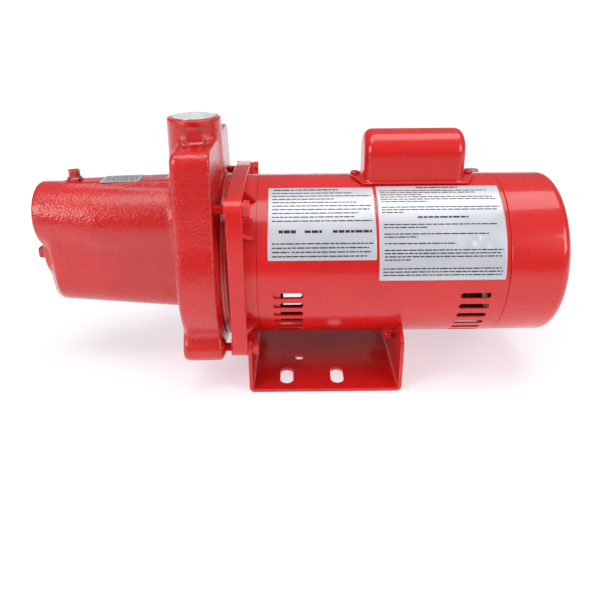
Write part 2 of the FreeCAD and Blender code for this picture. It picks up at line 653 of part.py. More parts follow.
def rotor_core():
    """Rotor laminations with the cage's slots just under the surface."""
    core = ring_x(ROTOR_R, 11.0, STACK_X0, STACK_X1)
    bars = [spun(cyl_x(2.3, STACK_X0, STACK_X1, 0, ROTOR_R - 4.0), 360.0 * i / 30) for i in range(30)]
    return core.cut(Part.Compound(bars))


def rotor_cage():
    """Cast cage: two end rings joined by thirty bars, with small paddles on both rings."""
    rings = [ring_x(ROTOR_R - 0.6, 24.0, STACK_X0 - 7.0, STACK_X0),
             ring_x(ROTOR_R - 0.6, 24.0, STACK_X1, STACK_X1 + 7.0)]
    bars = [spun(cyl_x(2.3, STACK_X0 - 1, STACK_X1 + 1, 0, ROTOR_R - 4.0), 12.0 * i) for i in range(30)]
    paddles = []
    for i in range(9):
        for x in (STACK_X0 - 13.0, STACK_X1 + 6.5):
            paddles.append(spun(box(x, x + 6.5, -1.0, 1.0, 25.5, 35.0), 40.0 * i))
    return fuse(rings + bars + paddles)


def cooling_fan():
    """Small radial fan on the shaft behind the drive-end bearing."""
    x0 = -21.0
    hub = ring_x(15.0, 10.5, x0, x0 + 13.0)
    disc = ring_x(35.5, 14.0, x0, x0 + 1.8)
    blades = [spun(box(x0 + 1.0, x0 + 13.0, -0.9, 0.9, 14.0, 35.0), 45.0 * i) for i in range(8)]
    return fuse([hub, disc] + blades)


def governor_base():
    """Centrifugal governor's plate on the shaft, with its two swinging weights at rest."""
    plate = turned([(131.0, 10.0), (131.0, 26.0), (132.6, 26.0), (132.6, 14.0), (139.0, 14.0), (139.0, 10.0)])
    weights = []
    for side in (1, -1):
        weight = box(132.6, 141.0, -9.0, 9.0, 18.0, 25.0).common(cyl_x(25.5, 132.0, 142.0))
        weights.append(weight if side == 1 else spun(weight, 180.0))
    return fuse([plate] + weights)


def governor_collar():
    """Sliding collar that the weights pull back to let the start switch open."""
    return turned([(144.0, 10.05), (144.0, 15.5), (146.0, 15.5), (146.0, 12.6), (151.0, 12.6),
                   (151.0, 17.0), (153.5, 17.0), (153.5, 10.05)])


# ---------------------------------------------------------------- motor's still core
def stator_core():
    """Stator laminations with winding slots inside and a notch for each through bolt outside."""
    core = ring_x(STATOR_R, AIR_GAP_R, STACK_X0, STACK_X1)
    cuts = []
    for i in range(STATOR_SLOTS):
        angle = 360.0 * i / STATOR_SLOTS
        cuts.append(spun(box(STACK_X0, STACK_X1, -2.4, 2.4, 41.0, 56.0), angle))
        cuts.append(spun(box(STACK_X0, STACK_X1, -1.1, 1.1, 36.0, 42.0), angle))
    for angle in tie_angles():
        cuts.append(spun(box(STACK_X0, STACK_X1, -3.6, 3.6, TIE_R - 3.4, 72.0), angle))
    return core.cut(Part.Compound(cuts))


def stator_windings():
    """Copper windings: bars through the slots and a rounded bundle of end turns at each end."""
    ends = []
    for x0 in (STACK_X0 - 13.5, STACK_X1 + 0.5):
        bundle = ring_x(60.0, 42.0, x0, x0 + 13.0)
        ends.append(round_edges(bundle, 3.5, lambda e: e.BoundBox.XLength < 0.01))
    bars = []
    for i in range(STATOR_SLOTS):
        bar = box(STACK_X0 - 2.0, STACK_X1 + 2.0, -2.0, 2.0, 42.5, 55.5)
        bars.append(spun(bar, 360.0 * i / STATOR_SLOTS))
    return fuse(ends + bars)


def slot_tool(middle_x, angle_below):
    """One vent slot's cutter, at an angle below level on the front side."""
    straight = (VENT_LENGTH - VENT_WIDTH) / 2
    tool = fuse([box(middle_x - straight, middle_x + straight, -80.0, -60.0, -VENT_WIDTH / 2, VENT_WIDTH / 2),
                 Part.makeCylinder(VENT_WIDTH / 2, 20.0, V(middle_x - straight, -80.0, 0), V(0, 1, 0)),
                 Part.makeCylinder(VENT_WIDTH / 2, 20.0, V(middle_x + straight, -80.0, 0), V(0, 1, 0))])
    return spun(tool, angle_below)


def motor_shell():
    """Rolled steel shell with two groups of vent slots round its lower half."""
    shell = ring_x(SHELL_R, SHELL_R - SHELL_WALL, SHELL_X0, SHELL_X1)
    cuts = []
    for middle_x, first, pitch, count in (LEFT_VENTS, RIGHT_VENTS):
        cuts += [slot_tool(middle_x, first + pitch * i) for i in range(count)]
    wire_hole = cyl_z(7.0, 60.0, 80.0, 120.0)
    screws = [cyl_z(1.75, 60.0, 80.0, x) for x in BOX_SCREWS_X]
    inlet = spun(cyl_z(7.0, 60.0, 80.0, BUSHING_X), -BUSHING_ANGLE)
    cradle = [spun(cyl_z(2.45, 60.0, 80.0, CRADLE_X), 180.0 + side * CRADLE_ANGLE) for side in (-1, 1)]
    return shell.cut(Part.Compound(cuts + [wire_hole, inlet] + screws + cradle))


def rear_bracket():
    """Cast rear end shield: register ring, four arms, bearing hub and two posts for the cover."""
    back = REAR_BEARING_X + BEARING_WIDTH + 1.2
    ring = ring_x(69.9, 63.0, 168.0, 178.0)
    hub = ring_x(26.0, BEARING_R, REAR_BEARING_X - 0.5, back + 1.5)
    lip = ring_x(21.0, 16.5, back, back + 1.5)
    arms = [spun(box(REAR_BEARING_X, 176.0, -7.0, 7.0, 24.0, 65.0), angle) for angle in tie_angles()]
    bosses = [spun(cyl_x(5.4, 168.0, 176.0, 0, TIE_R - 2.2), angle) for angle in tie_angles()]
    arm = box(REAR_BEARING_X, 176.0, 24.0, 65.0, -6.0, 6.0)
    side_arms = [arm, spun(arm, 180.0)]
    posts = [cyl_x(4.5, 172.0, COVER_X1 - DIMPLE - 1.4, side * 45.0, 0) for side in (-1, 1)]
    body = fuse([ring, hub, lip] + arms + bosses + side_arms + posts)
    body = body.common(cyl_x(69.9, 150.0, 230.0))
    holes = [spun(cyl_x(TIE_BOLT_R + 0.1, 150.0, 179.0, 0, TIE_R), angle) for angle in tie_angles()]
    holes += [spun(cyl_x(5.4, 176.0, 179.0, 0, TIE_R - 0.4), angle) for angle in tie_angles()]
    taps = [cyl_x(1.95, COVER_X1 - 16.0, COVER_X1, side * 45.0, 0) for side in (-1, 1)]
    return body.cut(Part.Compound(holes + taps))


def tie_bolts():
    """Four long through bolts that clamp the adapter, the shell and the rear bracket."""
    rods = []
    for angle in tie_angles():
        rod = cyl_x(TIE_BOLT_R, -38.0, 177.0, 0, TIE_R)
        head = hex_head(7.9, 176.0, 179.5, 0, TIE_R - 0.4).common(cyl_x(69.7, 170.0, 182.0))
        rods.append(spun(fuse([rod, head]), angle))
    return Part.Compound(rods)


def end_cover():
    """Deep-drawn rear cover with a rounded edge and a rolled lip against the shell."""
    wall = 1.4
    start = COVER_X0
    outer = SHELL_R - 0.2
    cup = cyl_x(outer, start, COVER_X1)
    cup = round_edges(cup, COVER_CORNER, lambda e: abs(e.CenterOfMass.x - COVER_X1) < 0.1)
    cup = round_edges(cup, 0.9, lambda e: abs(e.CenterOfMass.x - start) < 0.1 and e.Length > 100)
    core = cyl_x(outer - wall, start - 1.0, COVER_X1 - wall)
    core = round_edges(core, COVER_CORNER - wall, lambda e: abs(e.CenterOfMass.x - COVER_X1 + wall) < 0.1)
    dimples = [cyl_x(8.0, COVER_X1 - DIMPLE - wall, COVER_X1 - 0.5, side * 45.0, 0) for side in (-1, 1)]
    holes = [cyl_x(6.6, COVER_X1 - DIMPLE, COVER_X1 + 1.0, side * 45.0, 0) for side in (-1, 1)]
    holes += [cyl_x(2.3, COVER_X1 - 9.0, COVER_X1, side * 45.0, 0) for side in (-1, 1)]
    return fuse([cup.cut(core)] + dimples).cut(Part.Compound(holes))


def end_cover_screws():
    screws = []
    seat = COVER_X1 - DIMPLE
    for side in (-1, 1):
        y = side * 45.0
        head = Part.makeCone(4.4, 3.6, 2.4, V(seat, y, 0), V(1, 0, 0))
        shank = cyl_x(1.9, seat - 10.0, seat + 0.5, y, 0)
        slot = box(seat + 1.3, seat + 3.0, y - 5.0, y + 5.0, -0.5, 0.5)
        screws.append(fuse([head, shank]).cut(slot))
    return Part.Compound(screws)


def start_switch():
    """Stationary start switch: an insulating board round the shaft with a spring contact arm."""
    board = box(157.0, 159.0, -38.0, 38.0, 16.0, 44.0)
    board = board.cut(cyl_x(19.0, 150.0, 165.0))
    arm = box(155.8, 157.0, -30.0, 30.0, 18.5, 22.5)
    legs = [box(159.0, 167.0, side * 34.0 - 3.0, side * 34.0 + 3.0, 36.0, 42.0) for side in (-1, 1)]
    return fuse([board, arm] + legs)


def terminal_board():
    plate = slab_x([(-31.0, 30.0, 3.0), (31.0, 30.0, 3.0), (26.0, 56.0, 6.0), (-26.0, 56.0, 6.0)], 185.0, 188.0)
    legs = [cyl_x(3.0, 176.0, 185.0, side * 24.0, 35.0) for side in (-1, 1)]
    return fuse([plate] + legs)


def terminal_studs():
    studs = []
    for i in range(5):
        y = -20.0 + 10.0 * i
        studs.append(fuse([cyl_x(1.8, 188.0, 195.0, y, 44.0), hex_head(6.0, 188.0, 190.6, y, 44.0)]))
    return Part.Compound(studs)


def overload_protector():
    can = cyl_x(13.5, 180.5, 190.0, 0, -44.0)
    can = round_edges(can, 1.5, lambda e: e.CenterOfMass.x > 189.9)
    foot = box(176.0, 181.0, -4.0, 4.0, -56.0, -36.0)
    return fuse([can, foot])


# ---------------------------------------------------------------- capacitor
def arch_prism(x0, x1, half, floor, crown):
    """A box with a half-round top, along the shaft."""
    edges = [Part.makeLine(V(x0, -half, floor), V(x0, half, floor)),
             Part.makeLine(V(x0, half, floor), V(x0, half, BOX_ARCH_Z)),
             Part.Arc(V(x0, half, BOX_ARCH_Z), V(x0, 0, crown), V(x0, -half, BOX_ARCH_Z)).toShape(),
             Part.makeLine(V(x0, -half, BOX_ARCH_Z), V(x0, -half, floor))]
    return Part.Face(Part.Wire(edges)).extrude(V(x1 - x0, 0, 0))


def box_shape(shrink, corner):
    half = BOX_HALF - shrink
    x0 = BOX_X0 + shrink
    x1 = BOX_X1 - shrink
    prism = arch_prism(x0, x1, half, 60.0, BOX_ARCH_Z + half)
    return round_edges(prism, corner, lambda e: e.BoundBox.XLength < 0.01 and e.CenterOfMass.z > 61.0)


def capacitor_cover():
    """Drawn steel cover: an arched box on a flange that follows the shell."""
    body = box_shape(0.0, 8.0)
    cavity = box_shape(BOX_WALL, 6.8)
    chamfer = 8.0
    tip = 7.0
    corners = [(BOX_FLANGE_X0, -tip, 2.0), (BOX_FLANGE_X0 + chamfer, -BOX_FLANGE_HALF, 3.0),
               (BOX_FLANGE_X1 - chamfer, -BOX_FLANGE_HALF, 3.0), (BOX_FLANGE_X1, -tip, 2.0),
               (BOX_FLANGE_X1, tip, 2.0), (BOX_FLANGE_X1 - chamfer, BOX_FLANGE_HALF, 3.0),
               (BOX_FLANGE_X0 + chamfer, BOX_FLANGE_HALF, 3.0), (BOX_FLANGE_X0, tip, 2.0)]
    flange = slab_z(corners, 55.0, 80.0)
    flange = flange.common(cyl_x(SHELL_R + 0.8 + BOX_WALL, BOX_FLANGE_X0 - 1, BOX_FLANGE_X1 + 1))
    skirt = fuse([flange, body])
    skirt = skirt.cut(cavity).cut(cyl_x(SHELL_R + 0.8, BOX_FLANGE_X0 - 2, BOX_FLANGE_X1 + 2))
    return skirt.cut(Part.Compound([cyl_z(2.1, 60.0, 80.0, x) for x in BOX_SCREWS_X]))


def capacitor_gasket():
    pad = slab_z([(BOX_FLANGE_X0 + 8.5, -BOX_HALF + 0.5, 2.0), (BOX_FLANGE_X1 - 8.5, -BOX_HALF + 0.5, 2.0),
                  (BOX_FLANGE_X1 - 8.5, BOX_HALF - 0.5, 2.0), (BOX_FLANGE_X0 + 8.5, BOX_HALF - 0.5, 2.0)],
                 55.0, 80.0)
    pad = pad.common(ring_x(SHELL_R + 0.8, SHELL_R, BOX_FLANGE_X0, BOX_FLANGE_X1))
    return pad.cut(box(BOX_X0 + 4, BOX_X1 - 4, -17, 17, 50, 90))


def capacitor():
    can = cyl_x(16.5, BOX_X0 + 4.0, BOX_X1 - 14.0, 0, 91.0)
    can = round_edges(can, 1.5, lambda e: abs(e.CenterOfMass.x - BOX_X0 - 4.0) < 0.1 and e.Length > 90)
    cap = ring_x(16.5, 14.6, BOX_X1 - 14.0, BOX_X1 - 12.8, 0, 91.0)
    tabs = [box(BOX_X1 - 14.2, BOX_X1 - 6.0, side * 6.0 - 3.0, side * 6.0 + 3.0, 90.6, 91.4)
            for side in (-1, 1)]
    return fuse([can, cap] + tabs)


def capacitor_strap():
    """Steel clip that holds the capacitor down on the shell."""
    x0 = 90.0
    band = ring_x(17.6, 16.5, x0, x0 + 12.0, 0, 91.0)
    feet = [box(x0, x0 + 12.0, side * 13.5 - 3.0, side * 13.5 + 3.0, 60.0, 82.0) for side in (-1, 1)]
    legs = fuse(feet).cut(cyl_x(16.5, x0, x0 + 12.0, 0, 91.0)).cut(cyl_x(SHELL_R + 0.05, x0, x0 + 12))
    return fuse([band, legs])


def capacitor_cover_screws():
    screws = []
    for x in BOX_SCREWS_X:
        seat = SHELL_R + 0.8 + BOX_WALL
        head = cyl_z(4.0, seat, seat + 2.4, x)
        head = round_edges(head, 1.6, lambda e: e.CenterOfMass.z > seat + 1.0)
        cross = [box(x - 2.4, x + 2.4, -0.45, 0.45, seat + 1.4, seat + 4.0),
                 box(x - 0.45, x + 0.45, -2.4, 2.4, seat + 1.4, seat + 4.0)]
        screws.append(fuse([head, cyl_z(1.7, SHELL_R - TIP, seat + 0.4, x)]).cut(Part.Compound(cross)))
    return Part.Compound(screws)


# ---------------------------------------------------------------- base
def base_profile():
    """The U of the stamping, seen from the front: rounded bends between floor and flanges."""
    bottom = -SHAFT_HEIGHT
    top = SADDLE_TIP[1]
    inner = BASE_BEND - BASE_T
    corners = [(BASE_X0, top, 0), (BASE_X0, bottom, BASE_BEND), (BASE_X1, bottom, BASE_BEND),
               (BASE_X1, top, 0), (BASE_X1 - BASE_T, top, 0),
               (BASE_X1 - BASE_T, bottom + BASE_T, inner), (BASE_X0 + BASE_T, bottom + BASE_T, inner),
               (BASE_X0 + BASE_T, top, 0)]
    wire = rounded_wire(corners, lambda u, v: V(u, -BASE_HALF, v))
    return Part.Face(wire).extrude(V(0, 2 * BASE_HALF, 0))


def base_slot(x, y):
    straight = SLOT_LENGTH / 2 - SLOT_R
    low = -SHAFT_HEIGHT - 1.0
    high = -SHAFT_HEIGHT + BASE_T + 1.0
    return fuse([box(x - SLOT_R, x + SLOT_R, y - straight, y + straight, low, high),
                 cyl_z(SLOT_R, low, high, x, y - straight), cyl_z(SLOT_R, low, high, x, y + straight)])


def base_bracket():
    """One stamping: floor, pump-side flange with two bolt ears and a cradle flange at the rear."""
    low = -SHAFT_HEIGHT - 1.0
    pump_side = slab_x([(-BASE_HALF, low, 0), (BASE_HALF, low, 0), (BASE_HALF, -84.0, 4.0),
                        (-BASE_HALF, -84.0, 4.0)], BASE_X0 - 1.0, BASE_X0 + 8.0)
    ears = [cyl_x(10.0, BASE_X0, BASE_X0 + BASE_T, y, z) for y, z in bolt_places((-1,))]
    ears += [box(BASE_X0, BASE_X0 + BASE_T, y - 10.0, y + 10.0, low + 6.0, z) for y, z in bolt_places((-1,))]
    pump_side = fuse([pump_side] + ears).cut(cyl_x(87.0, BASE_X0 - 2, BASE_X0 + 9).cut(fuse(
        [cyl_x(10.0, BASE_X0 - 2, BASE_X0 + 9, y, z) for y, z in bolt_places((-1,))])))
    side, tip = SADDLE_TIP
    cradle_side = slab_x([(-BASE_HALF, low, 0), (BASE_HALF, low, 0), (BASE_HALF, SADDLE_SIDE_Z, 5.0),
                          (side, tip, 1.0), (-side, tip, 1.0), (-BASE_HALF, SADDLE_SIDE_Z, 5.0)],
                         BASE_X1 - 8.0, BASE_X1 + 1.0)
    floor = box(BASE_X0 + 7.0, BASE_X1 - 7.0, -BASE_HALF, BASE_HALF, low, -90.0)
    keep = fuse([pump_side, cradle_side, floor])
    bracket = base_profile().common(keep)
    tabs = []
    for turn in (-1, 1):
        tab = sector(SADDLE_R + 2.6, SADDLE_R, 76.0, BASE_X1 - 1.0, 180.0 + turn * CRADLE_ANGLE - 7.0,
                     180.0 + turn * CRADLE_ANGLE + 7.0)
        tabs.append(tab)
    bracket = fuse([bracket] + tabs)
    cuts = [cyl_x(SADDLE_R, BASE_X0 + 10.0, BASE_X1 + 5.0)]
    cuts += [cyl_x(4.4, BASE_X0 - 5.0, BASE_X0 + 5.0, y, z) for y, z in bolt_places((-1,))]
    cuts += [base_slot(x, j * SLOT_Y) for x in SLOTS_X for j in (-1, 1)]
    cuts.append(cyl_z(4.3, low, low + 6.0, 1.5, -21.0))
    cuts += [spun(cyl_z(2.6, 60.0, 90.0, CRADLE_X), 180.0 + turn * CRADLE_ANGLE) for turn in (-1, 1)]
    return bracket.cut(Part.Compound(cuts))


def cradle_screws():
    """Two hexagon screws that hold the shell down in the cradle."""
    screws = []
    for turn in (-1, 1):
        seat = SADDLE_R + 2.6
        corner = 8.0 / math.sqrt(3)
        turns = [math.radians(60 * i) for i in range(6)]
        corners = [(CRADLE_X + corner * math.cos(a), corner * math.sin(a), 0) for a in turns]
        head = slab_z(corners, seat + 0.9, seat + 5.0)
        washer = cyl_z(5.3, seat, seat + 0.9, CRADLE_X)
        shank = cyl_z(2.4, SHELL_R - TIP, seat + 1.0, CRADLE_X)
        screws.append(spun(fuse([head, washer, shank]), 180.0 + turn * CRADLE_ANGLE))
    return Part.Compound(screws)


# ---------------------------------------------------------------- trim
def conduit_bushing():
    """Snap-in plastic bushing in the supply cable's hole, at the back of the shell."""
    flange = cyl_z(BUSHING_R, SHELL_R - 0.6, SHELL_R + 4.2, BUSHING_X)
    flange = round_edges(flange, 1.4, lambda e: e.CenterOfMass.z > SHELL_R + 4.0)
    flange = flange.cut(cyl_x(SHELL_R + 0.02, BUSHING_X - 20, BUSHING_X + 20))
    barrel = cyl_z(6.9, SHELL_R - 5.0, SHELL_R + 2.0, BUSHING_X)
    bushing = fuse([flange, barrel]).cut(cyl_z(4.6, SHELL_R - 6.0, SHELL_R + 6.0, BUSHING_X))
    return spun(bushing, -BUSHING_ANGLE)


def shell_label(x0, x1, start, end):
    return sector(SHELL_R + LABEL_T, SHELL_R, x0, x1, start, end)


def snout_label():
    x0, x1, y0, y1 = SNOUT_LABEL
    corners = [V(x0, y0, strip_z(x0)), V(x1, y0, strip_z(x1)), V(x1, y0, strip_z(x1) + LABEL_T),
               V(x0, y0, strip_z(x0) + LABEL_T), V(x0, y0, strip_z(x0))]
    return Part.Face(Part.makePolygon(corners)).extrude(V(0, y1 - y0, 0))


# ---------------------------------------------------------------- output
PIECES = {
    "pump_casing": pump_casing,
    "priming_plug": priming_plug,
    "gauge_port_plug": gauge_port_plug,
    "vent_plug": vent_plug,
    "drain_plug": drain_plug,
    "discharge_cap": discharge_cap,
    "nozzle": nozzle,
    "nozzle_o_ring": nozzle_o_ring,
    "venturi_tube": venturi_tube,
    "venturi_seal": venturi_seal,
    "diffuser": diffuser,
    "impeller": impeller,
    "seal_plate": seal_plate,
    "casing_gasket": casing_gasket,
    "seal_boot": seal_boot,
    "seal_seat": seal_seat,
    "seal_face": seal_face,
    "seal_bellows": seal_bellows,
    "seal_spring": seal_spring,
    "slinger": slinger,
    "casing_bolts": casing_bolts,
    "bolt_washers": bolt_washers,
    "motor_adapter": motor_adapter,
    "front_bearing_outer": lambda: bearing_outer(FRONT_BEARING_X),
    "front_bearing_inner": lambda: bearing_inner(FRONT_BEARING_X),
    "front_bearing_balls": lambda: bearing_balls(FRONT_BEARING_X),
    "rear_bearing_outer": lambda: bearing_outer(REAR_BEARING_X),
    "rear_bearing_inner": lambda: bearing_inner(REAR_BEARING_X),
    "rear_bearing_balls": lambda: bearing_balls(REAR_BEARING_X),
    "wave_washer": wave_washer,
    "motor_shaft": motor_shaft,
    "rotor_core": rotor_core,
    "rotor_cage": rotor_cage,
    "cooling_fan": cooling_fan,
    "governor_base": governor_base,
    "governor_collar": governor_collar,
    "stator_core": stator_core,
    "stator_windings": stator_windings,
    "motor_shell": motor_shell,
    "rear_bracket": rear_bracket,
    "tie_bolts": tie_bolts,
    "end_cover": end_cover,
    "end_cover_screws": end_cover_screws,
    "start_switch": start_switch,
    "terminal_board": terminal_board,
    "terminal_studs": terminal_studs,
    "overload_protector": overload_protector,
    "capacitor": capacitor,
    "capacitor_strap": capacitor_strap,
    "capacitor_gasket": capacitor_gasket,
    "capacitor_cover": capacitor_cover,
    "capacitor_cover_screws": capacitor_cover_screws,
    "base_bracket": base_bracket,
    "cradle_screws": cradle_screws,
    "conduit_bushing": conduit_bushing,
    "left_label": lambda: shell_label(*LEFT_LABEL),
    "right_label": lambda: shell_label(*RIGHT_LABEL),
    "snout_label": snout_label,
}


def save(name, shape):
    """Moves a piece from the shaft's frame to the base's, and writes it."""
    shape.translate(V(-MIDDLE_X, 0, SHAFT_HEIGHT))
    shape.exportStep(f"parts/{name}.step")
    low = shape.BoundBox
    print(f"{name:24s} solids {len(shape.Solids)} valid {shape.isValid()} volume {shape.Volume / 1000:9.2f} cm3"
          f"  x {low.XMin:7.1f} {low.XMax:7.1f}  y {low.YMin:6.1f} {low.YMax:6.1f}"
          f"  z {low.ZMin:6.1f} {low.ZMax:6.1f}")


os.makedirs("parts", exist_ok=True)
for node, build in PIECES.items():
    save(node, build())
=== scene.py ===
"""The looks of a shallow well jet pump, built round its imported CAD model. Metres, in the CAD's frame."""

import json
import math
import random

import bpy
import numpy as np
from mathutils import Matrix, Vector, noise


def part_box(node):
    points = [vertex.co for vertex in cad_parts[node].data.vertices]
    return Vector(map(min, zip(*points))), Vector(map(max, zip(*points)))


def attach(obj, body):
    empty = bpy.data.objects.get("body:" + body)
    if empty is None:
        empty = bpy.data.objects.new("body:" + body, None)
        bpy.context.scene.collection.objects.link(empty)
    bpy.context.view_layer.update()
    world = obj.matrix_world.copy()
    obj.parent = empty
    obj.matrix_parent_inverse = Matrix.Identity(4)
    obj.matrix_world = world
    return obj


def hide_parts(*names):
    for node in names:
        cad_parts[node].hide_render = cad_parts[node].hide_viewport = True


MM = 0.001
FLAT = 0.01 * MM                     # a sheet's underside clears the metal by this much

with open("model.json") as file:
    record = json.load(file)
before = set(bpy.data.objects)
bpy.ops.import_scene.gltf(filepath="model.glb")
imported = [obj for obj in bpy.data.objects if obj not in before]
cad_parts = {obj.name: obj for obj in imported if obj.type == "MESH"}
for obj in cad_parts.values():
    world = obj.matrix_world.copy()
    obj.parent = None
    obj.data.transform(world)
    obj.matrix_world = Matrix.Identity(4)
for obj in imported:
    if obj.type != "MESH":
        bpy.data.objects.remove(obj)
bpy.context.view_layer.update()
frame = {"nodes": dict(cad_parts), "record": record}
nodes = frame["nodes"]

# ---------------------------------------------------------------- places read from the frame
SHAFT_Z = sum(corner[2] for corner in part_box("motor_shaft")) / 2
SHELL_LOW, SHELL_HIGH = (Vector(corner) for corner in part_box("motor_shell"))
SHELL_R = (SHELL_HIGH.z - SHELL_LOW.z) / 2
CASE_LOW, CASE_HIGH = (Vector(corner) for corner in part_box("pump_casing"))
BOLT_OFFSET = 62 * MM                # casing bolts, out from the shaft along Y and Z


def middle(node):
    low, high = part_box(node)
    return (Vector(low) + Vector(high)) / 2


# ---------------------------------------------------------------- colours (linear RGB)
RED = (0.640, 0.0125, 0.0115)
DARK_IRON = (0.030, 0.028, 0.027)
GREY_FROM, GREY_TO = (0.13, 0.13, 0.135), (0.45, 0.45, 0.46)      # the room, from level to overhead
# the table: painted shade in front, white behind, and the colour of its painted glow
TABLE_FRONT_SHADE, TABLE_WHITE = (0.15, 0.15, 0.15), (0.60, 0.60, 0.60)
TABLE_GLOW = (0.97, 0.99, 1.05)


# ---------------------------------------------------------------- materials
class Shader:
    """A small helper that builds one node material."""

    def __init__(self, name):
        self.material = bpy.data.materials.new(name)
        self.material.use_nodes = True
        self.tree = self.material.node_tree
        self.main = self.tree.nodes["Principled BSDF"]
        self.coordinates = self.node("ShaderNodeTexCoord").outputs["Object"]

    def node(self, kind, **settings):
        made = self.tree.nodes.new(kind)
        for key, value in settings.items():
            setattr(made, key, value)
        return made

    def link(self, source, target):
        self.tree.links.new(source, target)

    def stretched(self, stretch):
        mapping = self.node("ShaderNodeMapping")
        mapping.inputs["Scale"].default_value = stretch
        self.link(self.coordinates, mapping.inputs["Vector"])
        return mapping.outputs["Vector"]

    def noise(self, scale, detail=3.0, stretch=None):
        made = self.node("ShaderNodeTexNoise")
        made.inputs["Scale"].default_value = scale
        made.inputs["Detail"].default_value = detail
        self.link(self.stretched(stretch) if stretch else self.coordinates, made.inputs["Vector"])
        return made.outputs["Fac"]

    def ramp(self, value, low, high, from_colour, to_colour):
        made = self.node("ShaderNodeValToRGB")
        made.color_ramp.elements[0].position = low
        made.color_ramp.elements[1].position = high
        made.color_ramp.elements[0].color = (*from_colour, 1.0)
        made.color_ramp.elements[1].color = (*to_colour, 1.0)
        self.link(value, made.inputs["Fac"])
        return made.outputs["Color"]

    def spread(self, value, low=0.0, high=1.0, start=0.3, end=0.7):
        """Maps start..end of a value onto low..high."""
        made = self.node("ShaderNodeMapRange")
        made.inputs["From Min"].default_value = start
        made.inputs["From Max"].default_value = end
        made.inputs["To Min"].default_value = low
        made.inputs["To Max"].default_value = high
        self.link(value, made.inputs["Value"])
        return made.outputs["Result"]

    def mix(self, factor, first, second):
        made = self.node("ShaderNodeMix", data_type="RGBA")
        self.link(factor, made.inputs["Factor"])
        self.link(first, made.inputs["A"])
        self.link(second, made.inputs["B"])
        return made.outputs["Result"]

    def bumps(self, layers):
        """Stacks (height output, depth in metres, strength) layers of bump."""
        before = None
        for height, depth, strength in layers:
            made = self.node("ShaderNodeBump")
            made.inputs["Distance"].default_value = depth
            made.inputs["Strength"].default_value = strength
            self.link(height, made.inputs["Height"])
            if before is not None:
                self.link(before, made.inputs["Normal"])
            before = made.outputs["Normal"]
        self.link(before, self.main.inputs["Normal"])
        self.link(before, self.main.inputs["Coat Normal"])

    def surface(self, roughness, metallic=0.0, coat=0.0, coat_roughness=0.08):
        self.main.inputs["Metallic"].default_value = metallic
        self.main.inputs["Coat Weight"].default_value = coat
        self.main.inputs["Coat Roughness"].default_value = coat_roughness
        low, high = roughness
        self.link(self.spread(self.noise(90.0), low, high), self.main.inputs["Roughness"])


def shade(colour, factor):
    return tuple(part * factor for part in colour)


def gloss_paint():
    """Smooth enamel on sheet steel and die castings, with a faint orange peel."""
    s = Shader("gloss_paint")
    tone = s.ramp(s.noise(14.0), 0.35, 0.65, shade(RED, 0.95), shade(RED, 1.04))
    s.link(tone, s.main.inputs["Base Color"])
    s.surface((0.26, 0.34), coat=0.6, coat_roughness=0.07)
    s.main.inputs["Specular IOR Level"].default_value = 0.3
    s.bumps([(s.noise(110.0, 1.0), 0.0002, 0.05)])
    return s.material


def casting_paint():
    """The same enamel flooded over a sand casting: pebbled, with painted shade darkening it down in its
    pits.
    """
    s = Shader("casting_paint")
    tone = s.ramp(s.noise(18.0), 0.35, 0.65, shade(RED, 0.86), shade(RED, 0.98))
    pebbles = s.noise(600.0, 2.0)
    # painted shade: the pebble noise multiplies the tone darker in the pits
    paint = s.node("ShaderNodeMix", data_type="RGBA", blend_type="MULTIPLY")
    paint.inputs["Factor"].default_value = 0.5
    s.link(tone, paint.inputs["A"])
    s.link(s.ramp(pebbles, 0.26, 0.44, (0.55, 0.40, 0.40), (1.0, 1.0, 1.0)), paint.inputs["B"])
    s.link(paint.outputs["Result"], s.main.inputs["Base Color"])
    s.surface((0.22, 0.32), coat=0.7, coat_roughness=0.06)
    s.main.inputs["Specular IOR Level"].default_value = 0.35
    s.bumps([(s.noise(240.0, 2.0), 0.0009, 0.25), (pebbles, 0.0010, 0.45)])
    return s.material


def chipped_paint():
    """Enamel over a black iron plug, rubbed through in places by the wrench."""
    s = Shader("chipped_paint")
    paint = s.ramp(s.noise(60.0), 0.35, 0.65, shade(RED, 0.82), RED)
    iron = s.ramp(s.noise(700.0), 0.4, 0.6, DARK_IRON, shade(DARK_IRON, 2.0))
    chips = s.spread(s.noise(170.0, 4.0), start=0.60, end=0.63)
    s.link(s.mix(chips, paint, iron), s.main.inputs["Base Color"])
    s.surface((0.26, 0.40), coat=0.5)
    s.bumps([(s.noise(420.0), 0.0006, 0.3), (chips, 0.0002, 0.4)])
    return s.material


def plain(name, colour, roughness, metallic=0.0, coat=0.0, tint=0.12, grain=300.0, depth=0.0002,
          stretch=None, strength=0.2):
    """One moulded, cast or machined finish with its own tone, gloss and grain."""
    s = Shader(name)
    s.link(s.ramp(s.noise(40.0), 0.3, 0.7, shade(colour, 1 - tint), shade(colour, 1 + tint)),
           s.main.inputs["Base Color"])
    s.surface(roughness, metallic, coat)
    s.bumps([(s.noise(grain, 3.0, stretch), depth, strength)])
    return s.material


def stacked(name, colour, roughness, metallic, pitch, depth):
    """Sheets or wires stacked along the shaft, drawn as fine ridges."""
    s = Shader(name)
    wave = s.node("ShaderNodeTexWave", wave_type="BANDS", bands_direction="X")
    wave.inputs["Scale"].default_value = 1.0 / pitch
    wave.inputs["Distortion"].default_value = 0.4
    s.link(s.coordinates, wave.inputs["Vector"])
    s.link(s.ramp(wave.outputs["Fac"], 0.2, 0.8, shade(colour, 0.65), shade(colour, 1.1)),
           s.main.inputs["Base Color"])
    s.surface(roughness, metallic)
    s.bumps([(wave.outputs["Fac"], depth, 0.6), (s.noise(500.0), 0.0002, 0.2)])
    return s.material


